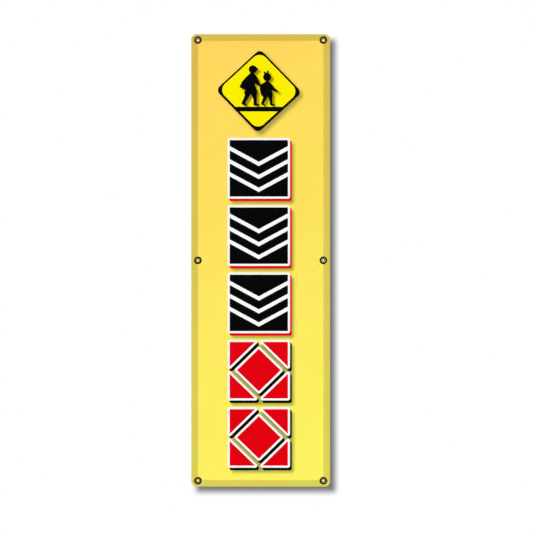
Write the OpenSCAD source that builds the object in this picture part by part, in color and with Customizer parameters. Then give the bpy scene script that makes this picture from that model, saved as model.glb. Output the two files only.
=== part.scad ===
// Pole banner: a hemmed tarpaulin sheet with six clinched eyelets and a printed front.
// Millimetres, +Z up. The printed face lies in the plane y = 0 and looks along -Y.
// The origin is the middle of the printed face, which is also the middle of the eyelets.

/* [Sheet] */
// Finished width, fold to fold
banner_w = 460; // [400:5:900]
// Finished height, fold to fold
banner_h = 1500; // [1480:10:2400]
// Thickness of the coated cloth
sheet_t = 0.5; // [0.3:0.05:1]
// Width of the hem turned to the back
hem_w = 22; // [16:0.5:40]
// Radius of the trimmed corners
corner_r = 18; // [10:1:24]
// Gap between two hem flaps where they meet at a corner
mitre_gap = 0.5; // [0.2:0.1:2]

/* [Eyelets] */
// Eyelet centre to the side edge
eyelet_inset_x = 22; // [18:0.5:40]
// Eyelet centre to the top or bottom edge
eyelet_inset_z = 19.5; // [18:0.5:40]
// Radius of the hole for the tie
bore_r = 5; // [3:0.25:6]
// Outer radius of the front flange
flange_r = 13; // [10.5:0.25:15]
// Height of the flange's crown above the cloth
flange_h = 1.5; // [1:0.1:2.5]
// Thickness of the pressed metal
metal_t = 0.4; // [0.25:0.05:0.6]
// Radius of the roll that clinches the barrel at the back
roll_r = 1.1; // [0.8:0.05:1.3]
// Outer radius of the back washer
washer_r = 12; // [11:0.25:15]
// Height of the washer's raised bead
bead_h = 0.9; // [0.7:0.05:1.5]
// Width of the flat land between the roll and the bead
land_w = 0.3; // [0.1:0.05:1]
// Play between the barrel and what it passes through
barrel_play = 0.1; // [0.02:0.02:0.3]

/* [Print] */
// Thickness of the ink
ink_t = 0.1; // [0.05:0.01:0.2]
// How far the printed column stands left of the middle
print_left = 6; // [0:0.5:12]
// Side of a printed tile, across
tile_w = 193; // [120:1:220]
// Side of a printed tile, down
tile_h = 187; // [120:1:200]
// Top edge to the middle of the first tile
first_tile_drop = 445; // [430:1:460]
// Step from one tile to the next
tile_pitch = 223; // [215:1:226]
// Black tiles, counted from the top
black_tiles = 3; // [1:1:3]
// Red tiles below them
red_tiles = 2; // [1:1:2]
// Width of the white edging round a tile
edging_w = 7; // [3:0.5:9]
// How far the second colour peeps out to the right
peep_x = 6; // [2:0.5:8]
// How far the second colour peeps out below
peep_z = 8.5; // [2:0.5:9]
// Gaps that cut a black tile into vees
vee_gaps = 3; // [1:1:3]
// Upright width of such a gap
vee_gap = 14; // [10:1:18]
// Fall of such a gap from the side to the middle
vee_fall = 52; // [30:1:56]
// Height of the black band between two gaps
vee_band_h = 29; // [20:1:32]
// Height of the top piece of a black tile at its sides
vee_side_h = 20; // [10:1:22]
// Width of the gap round the middle of a red tile
lozenge_gap = 25; // [16:1:30]
// Width of the gap between two corner pieces of a red tile
corner_gap = 24; // [16:1:40]

/* [Sign picture] */
// Width of the sign across its rounded corners
sign_w = 271; // [200:1:300]
// Height of the sign across its rounded corners
sign_h = 265; // [200:1:290]
// Top edge to the middle of the sign
sign_drop = 189; // [175:1:200]
// How far the sign leans clockwise, in degrees
sign_lean = 1.6; // [0:0.1:5]
// Radius of the sign's outer corners
sign_corner_r = 18; // [6:1:24]
// Radius of the corners of the yellow field
field_corner_r = 28; // [20:1:34]
// Mean width of the black border along a side
border_w = 7; // [3:0.5:9]
// How far the yellow field stands above the middle of the sign
field_rise = 1.4; // [0:0.1:2.5]
// Middle of the sign down to the top of the ground bar
ground_drop = 52; // [48:1:56]
// Height of the ground bar
ground_h = 15.5; // [8:0.5:18]
// Height of the taller child
child_h = 134; // [90:1:138]
// Gap between the feet and the ground bar
foot_gap = 3.5; // [1:0.5:6]
// Radius of the nooks between the children's limbs
nook_r = 1.5; // [0.5:0.1:3]

/* [Hidden] */

// More than any radius here, for cutting half-planes
FAR = 60;
// The children are drawn 134 units tall
CHILD_UNITS = 134;

// The hem doubles the cloth
hem_t = 2 * sheet_t;
eyelet_x = banner_w / 2 - eyelet_inset_x;
eyelet_z = banner_h / 2 - eyelet_inset_z;
barrel_r = bore_r + metal_t;
hole_r = barrel_r + barrel_play;
barrel_l = hem_t + metal_t;
// The throat is a quarter-round as high as the crown, and the dome's arc runs on from it to the rim
crown_r = bore_r + flange_h;
dome_r = arc_radius(flange_r - crown_r, flange_h);
// The bead is an arch between the land and the washer's rim
roll_end_r = bore_r + 2 * roll_r;
bead_in_r = roll_end_r + land_w;
bead_mid_r = (bead_in_r + washer_r) / 2;
bead_arc_r = arc_radius((washer_r - bead_in_r) / 2, bead_h);
land_end_r = bead_mid_r - half_chord(bead_arc_r, bead_arc_r - bead_h + metal_t);

tile_x = -print_left;
sign_pos = [-print_left, banner_h / 2 - sign_drop];
sign_core = [sign_w / 2 - sign_corner_r, sign_h / 2 - sign_corner_r];
core_reach = flat_distance(sign_core);
// The field's sides run parallel to the sign's, one border in
field_core = sign_core * (core_reach + sign_corner_r - border_w - field_corner_r) / core_reach;

// Radius of the arc that rises by rise over half a chord
function arc_radius(half, rise) = (half * half + rise * rise) / (2 * rise);
// Half the chord of a circle at distance d from its centre
function half_chord(r, d) = sqrt(r * r - d * d);
// Distance from the centre of a lozenge to its sides, from its two half-diagonals
function flat_distance(h) = h[0] * h[1] / norm(h);
function tile_z(i) = banner_h / 2 - first_tile_drop - i * tile_pitch;

// Stands a flat drawing up: its X stays, its Y becomes Z, and its height comes forward
module stand() rotate([90, 0, 0]) children();

// A layer of the banner, from one depth behind the printed face to another
module layer(from_y, to_y) {
    stand() translate([0, 0, -to_y]) linear_extrude(to_y - from_y) children();
}

// What is drawn at the upper right, at all four corners
module at_corners() {
    for (sx = [-1, 1], sz = [-1, 1])
        scale([sx, sz]) children();
}

module round_band(r, t) {
    difference() {
        circle(r = r, $fn = 96);
        circle(r = r - t, $fn = 96);
    }
}

// The sheet and its hems

module corner_trim_2d() {
    translate([banner_w / 2 - corner_r, banner_h / 2 - corner_r])
        difference() {
            square(corner_r + sheet_t);
            circle(r = corner_r, $fn = 96);
        }
}

module mitre_2d() {
    translate([banner_w / 2 - hem_w, banner_h / 2 - hem_w])
        rotate(45)
            translate([-mitre_gap, -mitre_gap / 2])
                square([2 * hem_w, mitre_gap]);
}

module front_ply() {
    layer(0, sheet_t)
        square([banner_w - hem_t, banner_h - hem_t], center = true);
}

module hem_flaps() {
    layer(sheet_t, hem_t)
        difference() {
            square([banner_w - hem_t, banner_h - hem_t], center = true);
            square([banner_w - 2 * hem_w, banner_h - 2 * hem_w], center = true);
            at_corners() mitre_2d();
        }
}

// The cloth turns back on itself in a half-round, as thick outside as the two plies
module hem_folds() {
    for (s = [-1, 1]) {
        translate([s * (banner_w / 2 - sheet_t), sheet_t, 0])
            cylinder(r = sheet_t, h = banner_h - hem_t, center = true, $fn = 48);
        translate([0, sheet_t, s * (banner_h / 2 - sheet_t)])
            rotate([0, 90, 0])
                cylinder(r = sheet_t, h = banner_w - hem_t, center = true, $fn = 48);
    }
}

module at_eyelet(side, row) {
    translate([side * eyelet_x, 0, row * eyelet_z]) children();
}

module eyelet_holes() {
    for (side = [-1, 1], row = [-1, 0, 1])
        at_eyelet(side, row)
            rotate([90, 0, 0])
                cylinder(r = hole_r, h = 4 * hem_t, center = true, $fn = 64);
}

module banner_sheet() color("#FADB5F")
    difference() {
        union() {
            front_ply();
            hem_flaps();
            hem_folds();
        }
        layer(-sheet_t, hem_t + sheet_t) at_corners() corner_trim_2d();
        eyelet_holes();
    }

module eyelet_section() {
    // Throat
    intersection() {
        translate([crown_r, 0]) round_band(flange_h, metal_t);
        square([crown_r, flange_h]);
    }
    // Dome
    intersection() {
        translate([crown_r, flange_h - dome_r]) round_band(dome_r, metal_t);
        translate([crown_r, 0]) square([flange_r, flange_h]);
    }
    // Barrel
    translate([bore_r, -barrel_l]) square([metal_t, barrel_l]);
    // Roll
    intersection() {
        translate([bore_r + roll_r, -barrel_l]) round_band(roll_r, metal_t);
        translate([0, -barrel_l - FAR]) square([FAR, FAR]);
    }
}

module washer_section() {
    // Land
    translate([hole_r, -barrel_l]) square([land_end_r - hole_r, metal_t]);
    // Bead
    intersection() {
        translate([bead_mid_r, bead_arc_r - hem_t - bead_h]) round_band(bead_arc_r, metal_t);
        translate([0, -hem_t - FAR]) square([FAR, FAR]);
    }
}

module eyelet() color("#4A3B1C") rotate([90, 0, 0]) rotate_extrude($fn = 96) eyelet_section();

module washer() color("#8A7A45") rotate([90, 0, 0]) rotate_extrude($fn = 96) washer_section();

module tile_2d() square([tile_w, tile_h], center = true);

// A vee that runs out past both sides of a tile, from the height of its top edge at those sides
module vee_cut_2d(top) {
    reach = tile_w;
    rise = vee_fall * (2 * reach / tile_w - 1);
    polygon([
        [-reach, top + rise], [0, top - vee_fall], [reach, top + rise],
        [reach, top + rise - vee_gap], [0, top - vee_fall - vee_gap], [-reach, top + rise - vee_gap]
    ]);
}

// A square cut across by vees that point down
module vee_tile_2d() {
    difference() {
        tile_2d();
        for (i = [0 : vee_gaps - 1])
            vee_cut_2d(tile_h / 2 - vee_side_h - i * (vee_gap + vee_band_h));
    }
}

module lozenge_2d(half) {
    polygon([[half[0], 0], [0, half[1]], [-half[0], 0], [0, -half[1]]]);
}

// A square cut into a lozenge and four corners
module lozenge_tile_2d() {
    whole = [tile_w + corner_gap, tile_h + corner_gap] / 2;
    inner = whole * (flat_distance(whole) - lozenge_gap) / flat_distance(whole);
    difference() {
        tile_2d();
        lozenge_2d(whole);
    }
    lozenge_2d(inner);
}

module edged_2d() offset(r = edging_w, $fn = 32) children();

// What shows of a copy moved down and to the right, round the edged shape
module peep_2d() {
    difference() {
        translate([peep_x, -peep_z]) edged_2d() children();
        edged_2d() children();
    }
}

module at_black_tiles() {
    for (i = [0 : black_tiles - 1]) translate([tile_x, tile_z(i)]) children();
}

module at_red_tiles() {
    for (i = [black_tiles : black_tiles + red_tiles - 1]) translate([tile_x, tile_z(i)]) children();
}

module rounded_lozenge_2d(core, r) offset(r = r, $fn = 64) lozenge_2d(core);

module on_sign() translate(sign_pos) children();

module sign_shape_2d() rotate(-sign_lean) rounded_lozenge_2d(sign_core, sign_corner_r);

module sign_field_2d()
    translate([0, field_rise]) rotate(-sign_lean) rounded_lozenge_2d(field_core, field_corner_r);

module ground_bar_2d() {
    intersection() {
        translate([-sign_w / 2, -ground_drop - ground_h]) square([sign_w, ground_h]);
        sign_shape_2d();
    }
}

// A tapered limb through points [x, y, radius], round at every joint
module limb_2d(points) {
    for (p = points)
        translate([p[0], p[1]]) circle(r = p[2], $fn = 24);
    for (i = [0 : len(points) - 2]) {
        a = [points[i][0], points[i][1]];
        b = [points[i + 1][0], points[i + 1][1]];
        n = [a[1] - b[1], b[0] - a[0]] / norm(b - a);
        ra = points[i][2] * n;
        rb = points[i + 1][2] * n;
        polygon([a + ra, b + rb, b - rb, a - ra]);
    }
}

// The taller child: peaked cap, cape, shorts, both legs in step and an arm held out in front
module tall_child_2d() {
    translate([-20, 120.6]) circle(r = 13.4, $fn = 48);
    polygon([[-11, 130.8], [-2, 121.6], [-1.6, 119.8], [-9, 116.4], [-16, 112]]);
    polygon([[-27, 110], [-15, 110], [-12.5, 98], [-12.5, 58], [-43.5, 52], [-63.4, 60.4], [-62.6, 66],
             [-57, 78], [-46, 92], [-36, 101]]);
    polygon([[-12.5, 68], [-8, 56], [-4.4, 45.6], [-5.4, 37], [-45, 36.5], [-50, 43.2], [-44, 51.5],
             [-43, 58]]);
    limb_2d([[-36, 41, 9], [-41, 29, 7.1], [-46, 18.6, 6.2], [-51.6, 8.4, 5.6], [-40.6, 1.6, 2.2]]);
    limb_2d([[-16, 41, 9.8], [-13.4, 29, 6.8], [-12, 18, 5.2], [-12.6, 5.4, 5.4], [2, 1.7, 1.9]]);
    limb_2d([[-16, 95.6, 8], [-8.4, 86, 7.2], [-4, 75.6, 6.2], [3.6, 67.8, 3.4]]);
}

// The smaller child: ribbon, satchel, skirt, and the free arm held down in front
module small_child_2d() {
    translate([27.6, 95]) circle(r = 13.3, $fn = 48);
    polygon([[38, 100], [41.8, 98.4], [42, 96.6], [39, 93]]);
    limb_2d([[22.4, 105, 3.8], [17.8, 112, 2.2]]);
    limb_2d([[28.4, 105, 3.8], [30.4, 114.4, 2.7]]);
    polygon([[23, 86], [32.5, 86], [33, 80], [40, 74.4], [45.4, 67], [47.4, 58], [42.6, 52], [44.4, 45.6],
             [46.2, 38], [45.6, 30], [14, 30], [9.2, 33.4], [6, 41.6], [4, 50], [3, 58.6], [4, 66],
             [8.6, 71.4], [15, 76.2], [22.4, 80]]);
    limb_2d([[40, 64.4, 6.8], [47.6, 55.6, 5], [56.4, 50.4, 4], [62.4, 47.8, 2.4]]);
    limb_2d([[22, 36, 8.4], [20.8, 27, 6.4], [17.2, 18.2, 5.2], [12, 7, 4.8], [19, 1.7, 2.2]]);
    limb_2d([[36.6, 36, 8.4], [38.4, 27, 6.4], [40.2, 18, 4.7], [41, 5, 4.2], [53.4, 1.8, 1.9]]);
}

// Growing and shrinking again rounds the nooks between limb and body
module children_2d() {
    translate([0, foot_gap - ground_drop])
        offset(r = -nook_r, $fn = 24)
            offset(r = nook_r, $fn = 24)
                scale(child_h / CHILD_UNITS) {
                    tall_child_2d();
                    small_child_2d();
                }
}

module print_white() color("#FFFFFF")
    layer(-ink_t, 0) {
        at_black_tiles()
            difference() {
                edged_2d() tile_2d();
                vee_tile_2d();
            }
        at_red_tiles()
            difference() {
                edged_2d() lozenge_tile_2d();
                lozenge_tile_2d();
            }
    }

module print_red() color("#E60012")
    layer(-ink_t, 0) {
        at_black_tiles() peep_2d() tile_2d();
        at_red_tiles() lozenge_tile_2d();
    }

module print_black() color("#111111")
    layer(-ink_t, 0) {
        at_black_tiles() vee_tile_2d();
        at_red_tiles() peep_2d() lozenge_tile_2d();
        on_sign() {
            difference() {
                sign_shape_2d();
                sign_field_2d();
            }
            ground_bar_2d();
            children_2d();
        }
    }

module print_sign_yellow() color("#FFF100")
    layer(-ink_t, 0)
        on_sign()
            difference() {
                sign_field_2d();
                ground_bar_2d();
                children_2d();
            }

banner_sheet();
at_eyelet(-1, 1) eyelet();  // eyelet_top_left
at_eyelet(1, 1) eyelet();  // eyelet_top_right
at_eyelet(-1, 0) eyelet();  // eyelet_middle_left
at_eyelet(1, 0) eyelet();  // eyelet_middle_right
at_eyelet(-1, -1) eyelet();  // eyelet_bottom_left
at_eyelet(1, -1) eyelet();  // eyelet_bottom_right
at_eyelet(-1, 1) washer();  // washer_top_left
at_eyelet(1, 1) washer();  // washer_top_right
at_eyelet(-1, 0) washer();  // washer_middle_left
at_eyelet(1, 0) washer();  // washer_middle_right
at_eyelet(-1, -1) washer();  // washer_bottom_left
at_eyelet(1, -1) washer();  // washer_bottom_right
print_white();
print_red();
print_black();
print_sign_yellow();
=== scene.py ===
"""Dresses the pole banner: a hemmed tarpaulin held by six clinched eyelets and printed on its front.

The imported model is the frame. The cloth and its ink are drawn again here so that they hang as cloth
does, the metal keeps its CAD meshes, and every surface gets a finish of its own.
"""

import enum
import logging
import math
from dataclasses import dataclass, field
from functools import cached_property

import bpy
import numpy as np
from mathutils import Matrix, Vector
from mathutils.geometry import delaunay_2d_cdt


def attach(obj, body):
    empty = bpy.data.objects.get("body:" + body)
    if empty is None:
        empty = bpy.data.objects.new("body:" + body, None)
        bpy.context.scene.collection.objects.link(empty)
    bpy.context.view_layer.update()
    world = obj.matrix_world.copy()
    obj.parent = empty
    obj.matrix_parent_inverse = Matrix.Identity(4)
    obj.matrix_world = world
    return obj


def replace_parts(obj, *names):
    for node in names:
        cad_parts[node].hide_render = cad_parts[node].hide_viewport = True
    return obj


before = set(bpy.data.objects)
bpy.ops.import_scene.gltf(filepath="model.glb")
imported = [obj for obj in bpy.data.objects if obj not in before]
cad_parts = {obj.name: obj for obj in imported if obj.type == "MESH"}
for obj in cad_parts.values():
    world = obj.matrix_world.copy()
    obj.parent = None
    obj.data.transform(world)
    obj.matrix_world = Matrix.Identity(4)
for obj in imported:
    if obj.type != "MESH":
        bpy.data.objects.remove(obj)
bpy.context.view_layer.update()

log = logging.getLogger("pole_banner")

MM = 0.001
# Places less than this apart are taken as one.
SAME = 0.01 * MM
# The decimals of a metre to which a CAD corner is rounded, and the share of a step lost to rounding.
DECIMALS = 6
ROUNDING = 1e-6
# How many places are tested against a whole outline at a time.
BATCH = 2000
CORNER_SIGNS = np.array([(-1, -1), (1, -1), (1, 1), (-1, 1)])


def smoothstep(value: np.ndarray, start: float, end: float) -> np.ndarray:
    """Rises from 0 at start to 1 at end as 3t^2 - 2t^3.

    Args:
        value: What is measured.
        start: Where the rise starts.
        end: Where it ends.

    Returns:
        The rise, from 0 to 1, at each value.
    """
    t = np.clip((value - start) / (end - start), 0.0, 1.0)
    return t * t * (3.0 - 2.0 * t)


def linear(r: int, g: int, b: int) -> tuple[float, float, float, float]:
    """Turns a display colour into the linear colour that a shader takes, by the sRGB curve.

    Args:
        r: Red, from 0 to 255.
        g: Green.
        b: Blue.

    Returns:
        The colour's three parts from 0 to 1, and 1 for its cover.
    """
    c = np.array([r, g, b]) / 255.0
    c = np.where(c <= 0.04045, c / 12.92, ((c + 0.055) / 1.055) ** 2.4)
    return (float(c[0]), float(c[1]), float(c[2]), 1.0)


def grey(level: float) -> tuple[float, float, float, float]:
    """A grey of a linear level, where 1 is white."""
    return (level, level, level, 1.0)


# The cloth


@dataclass(frozen=True)
class BannerCut:
    """The finished banner's sizes in metres, as the part's source has them."""

    width: float = 460 * MM
    height: float = 1500 * MM
    ply: float = 0.5 * MM
    hem: float = 22 * MM
    corner_r: float = 18 * MM
    mitre_gap: float = 0.5 * MM
    mitre_end: float = 0.6 * MM
    eyelet_x: float = 208 * MM
    eyelet_z: float = 730.5 * MM
    hole_r: float = 5.5 * MM
    flange_r: float = 13 * MM
    ink: float = 0.1 * MM
    print_left: float = 6 * MM
    tile_w: float = 193 * MM
    tile_h: float = 187 * MM
    first_tile_drop: float = 445 * MM
    tile_pitch: float = 223 * MM
    tiles: int = 5
    edging: float = 7 * MM
    sign_w: float = 271 * MM
    sign_h: float = 265 * MM
    sign_drop: float = 189 * MM
    sign_corner_r: float = 18 * MM
    sign_lean: float = math.radians(1.6)
    ground_drop: float = 52 * MM

    @property
    def half(self) -> tuple[float, float]:
        """Half the width and half the height."""
        return self.width / 2, self.height / 2

    @property
    def fold_line(self) -> tuple[float, float]:
        """Half width and half height at which the front ply starts to turn back."""
        return self.width / 2 - self.ply, self.height / 2 - self.ply

    @property
    def hem_line(self) -> tuple[float, float]:
        """Half width and half height of the hems' inner edges."""
        return self.width / 2 - self.hem, self.height / 2 - self.hem

    @property
    def mitre_reach(self) -> float:
        """How far each mitre gap runs out from the hem's inner corner, to just short of the trim."""
        return self.hem - (1 - math.sqrt(0.5)) * self.corner_r - self.mitre_end

    @property
    def eyelets(self) -> np.ndarray:
        """The six eyelet centres, as an array of x and z."""
        return np.array([(sx * self.eyelet_x, row * self.eyelet_z) for row in (-1, 0, 1) for sx in (-1, 1)])

    def to_eyelet(self, points: np.ndarray) -> np.ndarray:
        """How far each point lies from the nearest eyelet's axis."""
        return np.linalg.norm(points[:, None] - self.eyelets, axis=-1).min(-1)


@dataclass(frozen=True)
class Wave:
    """A slanting sine: its height, its turn in radians per metre across and up, and its phase."""

    height: float
    across: float
    up: float
    phase: float

    def at(self, x: np.ndarray, z: np.ndarray) -> np.ndarray:
        """Height * sin(across * x + up * z + phase) at each place."""
        return self.height * np.sin(self.across * x + self.up * z + self.phase)


@dataclass(frozen=True)
class ClothHang:
    """How the cloth lies between the eyelets that hold it: lengths in metres."""

    cut: BannerCut
    bay_billow: float = 2.6 * MM
    bay_side_loss: float = 0.35
    middle_billow: float = 1.6 * MM
    middle_share: float = 0.6
    middle_sway: Wave = Wave(0.4, 0.0, 5.7, 1.0)
    ripples: tuple[Wave, ...] = (Wave(0.55 * MM, 11.0, 19.0, 0.6), Wave(0.33 * MM, 24.0, -9.0, 2.1))
    edge_flutter: float = 0.8 * MM
    flutter_turn: float = 29.0
    flutter_lag: float = 1.5
    clamped: float = 0.5 * MM
    free_from: float = 110 * MM
    pucker: float = 0.22 * MM
    pucker_folds: int = 7
    pucker_full: float = 22 * MM
    pucker_fall: tuple[float, float] = (30 * MM, 85 * MM)
    ridge: float = 0.2 * MM
    ridge_half: float = 1.4 * MM

    def depth(self, x: np.ndarray, z: np.ndarray) -> np.ndarray:
        """Where the printed face lies behind the plane of the eyelets.

        The cloth bellies forward as sin^2 of its height in each bay between two rows of eyelets,
        and as cos^2 of its width in the middle. Slanting sines ripple it, a faster sine flutters
        its long edges, and all of that fades to nothing at the eyelets. Round each eyelet stand
        short folds, as a cosine of the angle that starts elsewhere at each, and that rises and
        dies away with the radius. The hem stands a little forward of the rest, by a smooth step
        across its inner edge.

        Args:
            x: Places across the banner.
            z: Places up the banner.

        Returns:
            The depth in metres, negative towards the viewer.
        """
        c = self.cut
        aside = x / c.half[0]
        in_bay = np.sin(np.pi * z / c.eyelet_z) ** 2
        belly = self.bay_billow * in_bay * (1.0 - self.bay_side_loss * aside**2)
        sway = self.middle_share + self.middle_sway.at(x, z)
        middle = self.middle_billow * np.cos(0.5 * np.pi * aside) ** 2 * sway
        ripple = sum(wave.at(x, z) for wave in self.ripples)
        swing = np.sin(self.flutter_turn * z + self.flutter_lag * np.sign(x))
        flutter = self.edge_flutter * aside**4 * in_bay * swing

        gap = np.stack([x, z], -1)[..., None, :] - c.eyelets
        radius = np.linalg.norm(gap, axis=-1)
        angle = np.arctan2(gap[..., 1], gap[..., 0]) + np.arange(len(c.eyelets))
        held = c.flange_r + self.clamped
        calm = smoothstep(radius, held + self.clamped, self.free_from).prod(-1)
        risen = smoothstep(radius, held, self.pucker_full)
        shown = risen * (1.0 - smoothstep(radius, *self.pucker_fall))
        pucker = self.pucker * (np.cos(self.pucker_folds * angle) * shown).sum(-1)

        past_hem = np.maximum(np.abs(x) - c.hem_line[0], np.abs(z) - c.hem_line[1])
        ridge = self.ridge * smoothstep(past_hem, -self.ridge_half, self.ridge_half) * risen.prod(-1)
        return pucker - ridge - calm * (belly + middle + ripple + flutter)


def triangulate(points: np.ndarray, kept: np.ndarray) -> tuple[np.ndarray, np.ndarray]:
    """Joins points of a plane into triangles that run along the edges to be kept.

    Args:
        points: The points, as x and z in metres.
        kept: Pairs of point numbers, each an edge that no triangle may cross.

    Returns:
        The points, with any that crossing edges add, and the triangles, counter-clockwise.
    """
    inside_only, merged_within = 1, 0.01 * SAME / MM
    given = list(map(Vector, (points / MM).tolist()))
    joined, _, faces, *_ = delaunay_2d_cdt(given, kept.tolist(), [], inside_only, merged_within)
    return np.array(joined) * MM, np.array(faces)


def closed_loop(start: int, count: int) -> np.ndarray:
    """Pairs of point numbers that join count points from start on into a ring."""
    ring = np.arange(count)
    return np.stack([ring, (ring + 1) % count], -1) + start


def half_edges(triangles: np.ndarray) -> tuple[np.ndarray, np.ndarray, np.ndarray]:
    """Each triangle's three edges in its own turning sense, with what lies beyond them.

    Args:
        triangles: Counter-clockwise triangles, as point numbers.

    Returns:
        The edges as pairs of point numbers, the triangle each belongs to, and the triangle on the
        other side, or -1 at a free edge.
    """
    edges = np.concatenate([triangles[:, [0, 1]], triangles[:, [1, 2]], triangles[:, [2, 0]]])
    owner = np.tile(np.arange(len(triangles)), 3)
    span = int(triangles.max()) + 1
    key, twin = edges[:, 0] * span + edges[:, 1], edges[:, 1] * span + edges[:, 0]
    order = np.argsort(key)
    at = np.clip(np.searchsorted(key[order], twin), 0, len(key) - 1)
    found = key[order][at] == twin
    return edges, owner, np.where(found, owner[order][at], -1)


@dataclass
class Shell:
    """A closed surface that is put together from blocks of points and faces."""

    blocks: list[np.ndarray] = field(default_factory=list)
    triangles: list[np.ndarray] = field(default_factory=list)
    quads: list[np.ndarray] = field(default_factory=list)
    triangle_slots: list[np.ndarray] = field(default_factory=list)
    quad_slots: list[np.ndarray] = field(default_factory=list)
    count: int = 0

    def add_points(self, block: np.ndarray) -> int:
        """Adds points.

        Args:
            block: The points, as an array of x, y and z.

        Returns:
            The number of the first of them.
        """
        self.blocks.append(block)
        self.count += len(block)
        return self.count - len(block)

    def add_triangles(self, faces: np.ndarray, slot: np.ndarray | int = 0) -> None:
        """Adds triangles, with the material slot of each or of all."""
        self.triangles.append(faces)
        self.triangle_slots.append(np.broadcast_to(slot, len(faces)))

    def add_quads(self, a: np.ndarray, b: np.ndarray, c: np.ndarray, d: np.ndarray, slot: int = 0) -> None:
        """Adds quads from their four columns of point numbers."""
        self.quads.append(np.stack([a, b, c, d], -1))
        self.quad_slots.append(np.full(len(a), slot))

    def to_object(
        self, name: str, finishes: list[bpy.types.Material], crease: float = 35.0
    ) -> bpy.types.Object:
        """Makes the piece: smooth, but sharp where two faces meet at more than an angle.

        Args:
            name: The piece's name.
            finishes: Its materials, in the order of the slots.
            crease: The angle in degrees.

        Returns:
            The object, at the origin.
        """
        triangles, quads = np.concatenate(self.triangles), np.concatenate(self.quads)
        used, place = np.unique(np.concatenate([triangles.ravel(), quads.ravel()]), return_inverse=True)
        split = triangles.size
        faces = [*place[:split].reshape(-1, 3).tolist(), *place[split:].reshape(-1, 4).tolist()]
        mesh = bpy.data.meshes.new(name)
        mesh.from_pydata(np.concatenate(self.blocks)[used].tolist(), [], faces)
        slots = np.concatenate([*self.triangle_slots, *self.quad_slots]).astype(np.int32)
        mesh.polygons.foreach_set("material_index", slots)
        for finish in finishes:
            mesh.materials.append(finish)
        mesh.shade_smooth()
        mesh.set_sharp_from_angle(angle=math.radians(crease))
        mesh.update()
        piece = bpy.data.objects.new(name, mesh)
        bpy.context.scene.collection.objects.link(piece)
        return piece


class SheetSlot(enum.IntEnum):
    """The three faces that the folded cloth shows."""

    PRINTED = 0
    BARE_BACK = 1
    HEM = 2


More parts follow.
